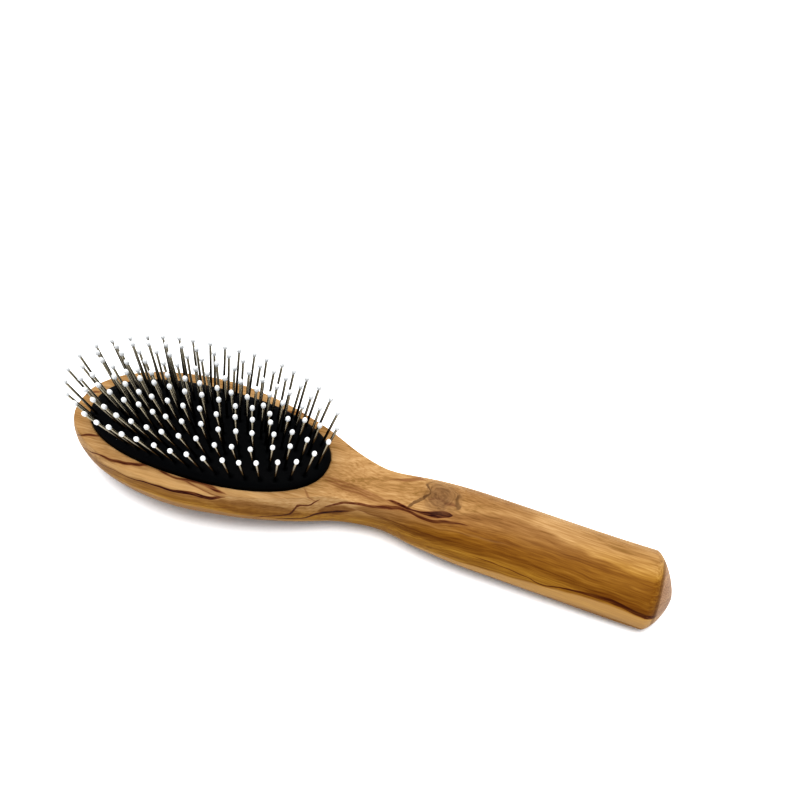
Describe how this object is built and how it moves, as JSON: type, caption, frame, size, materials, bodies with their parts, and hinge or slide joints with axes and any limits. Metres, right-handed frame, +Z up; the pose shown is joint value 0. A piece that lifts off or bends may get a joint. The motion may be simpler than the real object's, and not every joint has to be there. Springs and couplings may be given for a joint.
{
  "type": "pin brush",
  "caption": "Pin brush for a pet's coat: solid wooden body, oval air-cushioned rubber pad, and rings of outward-leaning steel pins with ball ends.",
  "frame": {"origin": "halfway along the brush, on its centre line, on the surface that its back lies on", "axes": "+X along the brush towards the end of the handle, +Y across it, +Z up through the pins"},
  "size_m": [0.2218, 0.0542, 0.0447],
  "materials": {
    "olive_wood": "satin",
    "cushion_rubber": "smooth",
    "pin_steel": "satin",
    "ball_plastic": "gloss"
  },
  "bodies": {
    "root": {"wooden_body": "olive_wood", "rubber_cushion": "cushion_rubber", "pins_ring_1_front": "pin_steel", "ball_ends_ring_1_front": "ball_plastic", "pins_ring_1_back": "pin_steel", "ball_ends_ring_1_back": "ball_plastic", "pins_ring_2_front": "pin_steel", "ball_ends_ring_2_front": "ball_plastic", "pins_ring_2_back": "pin_steel", "ball_ends_ring_2_back": "ball_plastic", "pins_ring_3_front": "pin_steel", "ball_ends_ring_3_front": "ball_plastic", "pins_ring_3_back": "pin_steel", "ball_ends_ring_3_back": "ball_plastic", "pins_ring_4_front": "pin_steel", "ball_ends_ring_4_front": "ball_plastic", "pins_ring_4_back": "pin_steel", "ball_ends_ring_4_back": "ball_plastic", "pins_ring_5_front": "pin_steel", "ball_ends_ring_5_front": "ball_plastic", "pins_ring_5_back": "pin_steel", "ball_ends_ring_5_back": "ball_plastic"}
  },
  "joints": []
}
